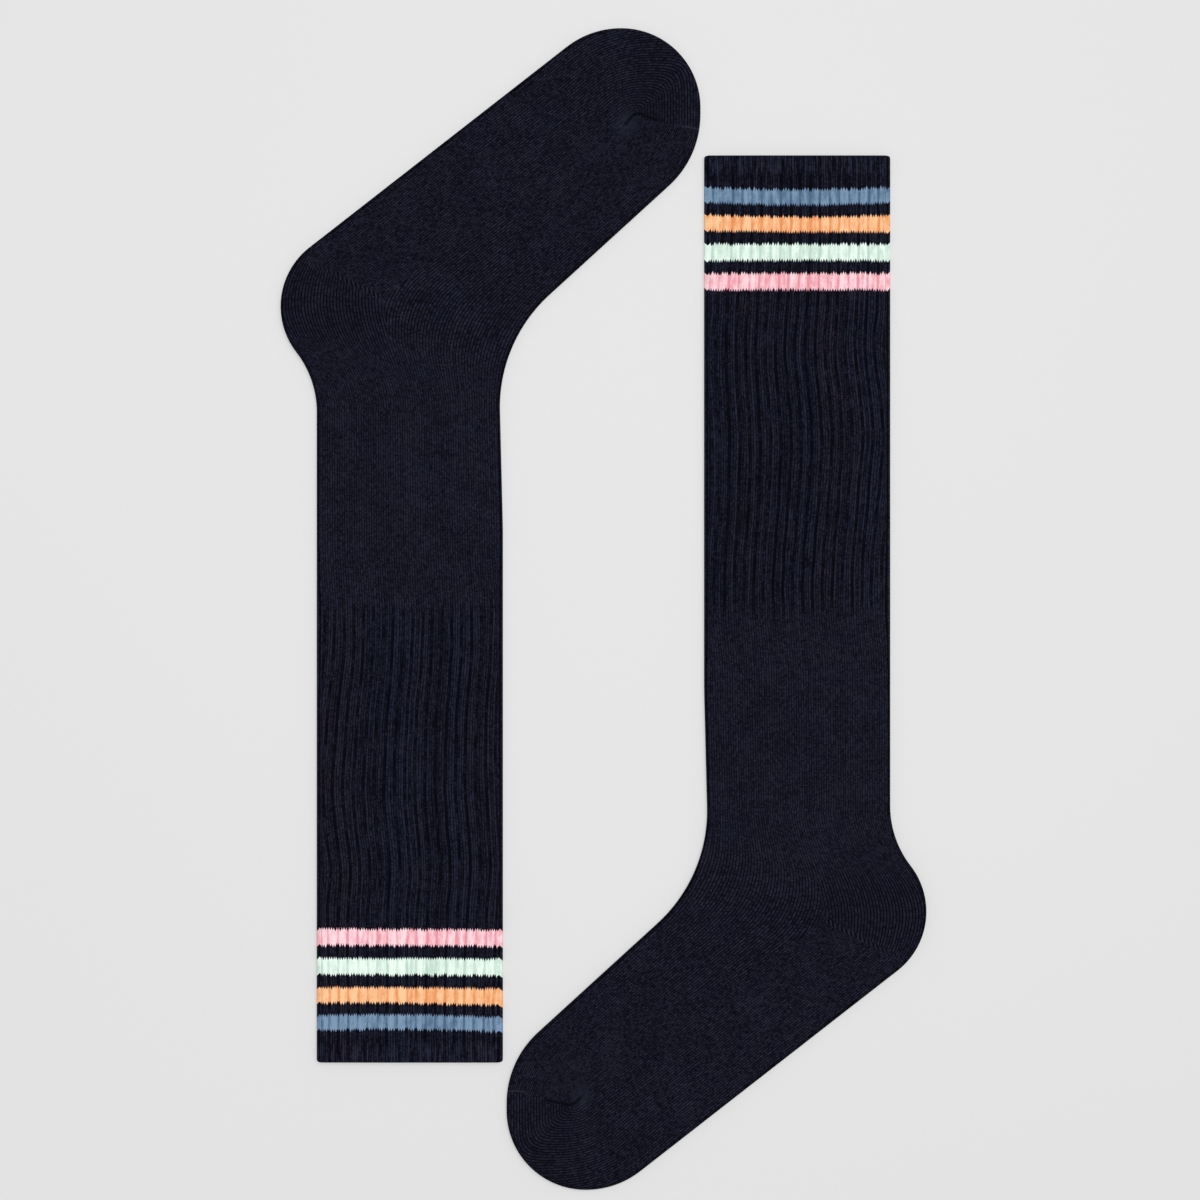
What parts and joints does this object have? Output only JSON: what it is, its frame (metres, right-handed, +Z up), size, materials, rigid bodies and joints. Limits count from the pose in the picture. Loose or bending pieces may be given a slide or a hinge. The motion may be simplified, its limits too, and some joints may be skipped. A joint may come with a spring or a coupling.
{
  "type": "pair of socks",
  "caption": "Knee-high knitted socks laid flat beside each other, head to toe: ribbed striped leg, plain foot, shaped heel and toe.",
  "frame": {"origin": "middle of the laid-out pair, on the surface that the socks lie on", "axes": "+Y along both legs, towards the open cuff of one sock and the toe of the other; +X towards the heel of the sock whose cuff is at +Y; +Z up, out of the surface"},
  "size_m": [0.3226, 0.5804, 0.0052],
  "materials": {
    "knit": "matt knitted cotton, very dark navy, with a pale blue, an orange, a mint and a pink band below the cuff"
  },
  "bodies": {
    "root": {"sock_cuff_up": "knit", "sock_cuff_down": "knit"}
  },
  "joints": []
}
